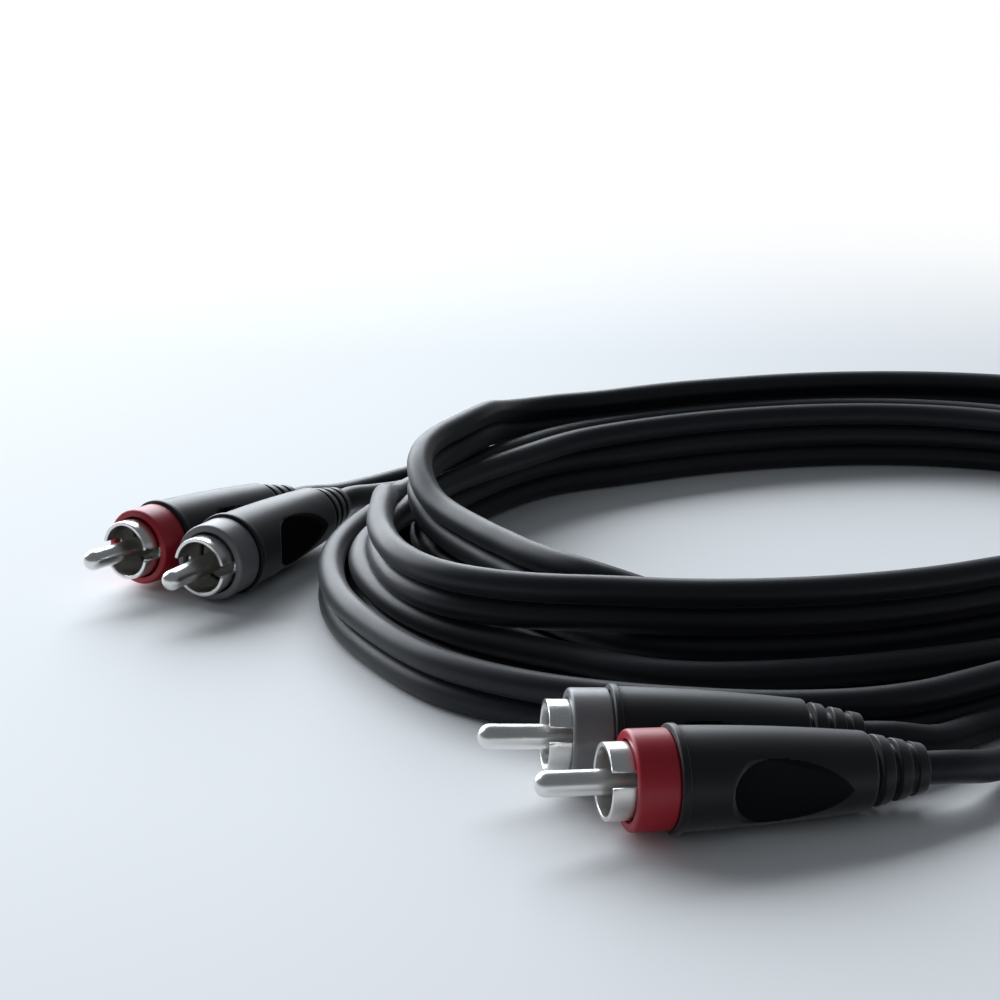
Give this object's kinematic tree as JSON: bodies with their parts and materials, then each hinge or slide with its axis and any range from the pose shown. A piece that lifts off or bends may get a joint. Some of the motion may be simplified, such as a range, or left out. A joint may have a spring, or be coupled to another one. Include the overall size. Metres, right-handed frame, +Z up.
{
  "type": "stereo phono audio cable",
  "caption": "Loosely coiled twin audio lead with moulded phono plugs at both ends, each with a slotted metal collar, a centre pin, a colour ring and a ribbed strain relief.",
  "frame": {"origin": "on the table, under the middle of the four plugs", "axes": "+Z up from the table; +X to the viewer's right and +Y away from the viewer, as the coil is seen in the picture"},
  "size_m": [0.2029, 0.1819, 0.017],
  "materials": {
    "nickel": "bright nickel plating",
    "copper": "bare copper",
    "insulator": "dark brown moulded plastic",
    "dielectric": "white polyethylene",
    "moulding": "satin black moulded plastic",
    "jacket": "matte charcoal flexible jacket",
    "red_ring": "satin red plastic",
    "grey_ring": "satin grey plastic"
  },
  "bodies": {
    "root": {"end_a_red_pin": "nickel", "end_a_red_collar": "nickel", "end_a_red_insulator": "insulator", "end_a_red_colour_ring": "red_ring", "end_a_red_housing": "moulding", "end_a_red_conductor": "copper", "end_a_red_dielectric": "dielectric", "end_a_red_shield": "copper", "end_a_red_lead": "jacket", "end_a_grey_pin": "nickel", "end_a_grey_collar": "nickel", "end_a_grey_insulator": "insulator", "end_a_grey_colour_ring": "grey_ring", "end_a_grey_housing": "moulding", "end_a_grey_conductor": "copper", "end_a_grey_dielectric": "dielectric", "end_a_grey_shield": "copper", "end_a_grey_lead": "jacket", "end_b_grey_pin": "nickel", "end_b_grey_collar": "nickel", "end_b_grey_insulator": "insulator", "end_b_grey_colour_ring": "grey_ring", "end_b_grey_housing": "moulding", "end_b_grey_conductor": "copper", "end_b_grey_dielectric": "dielectric", "end_b_grey_shield": "copper", "end_b_grey_lead": "jacket", "end_b_red_pin": "nickel", "end_b_red_collar": "nickel", "end_b_red_insulator": "insulator", "end_b_red_colour_ring": "red_ring", "end_b_red_housing": "moulding", "end_b_red_conductor": "copper", "end_b_red_dielectric": "dielectric", "end_b_red_shield": "copper", "end_b_red_lead": "jacket", "end_a_twin_tail": "jacket", "end_b_twin_tail": "jacket", "cable_coil": "jacket"}
  },
  "joints": []
}
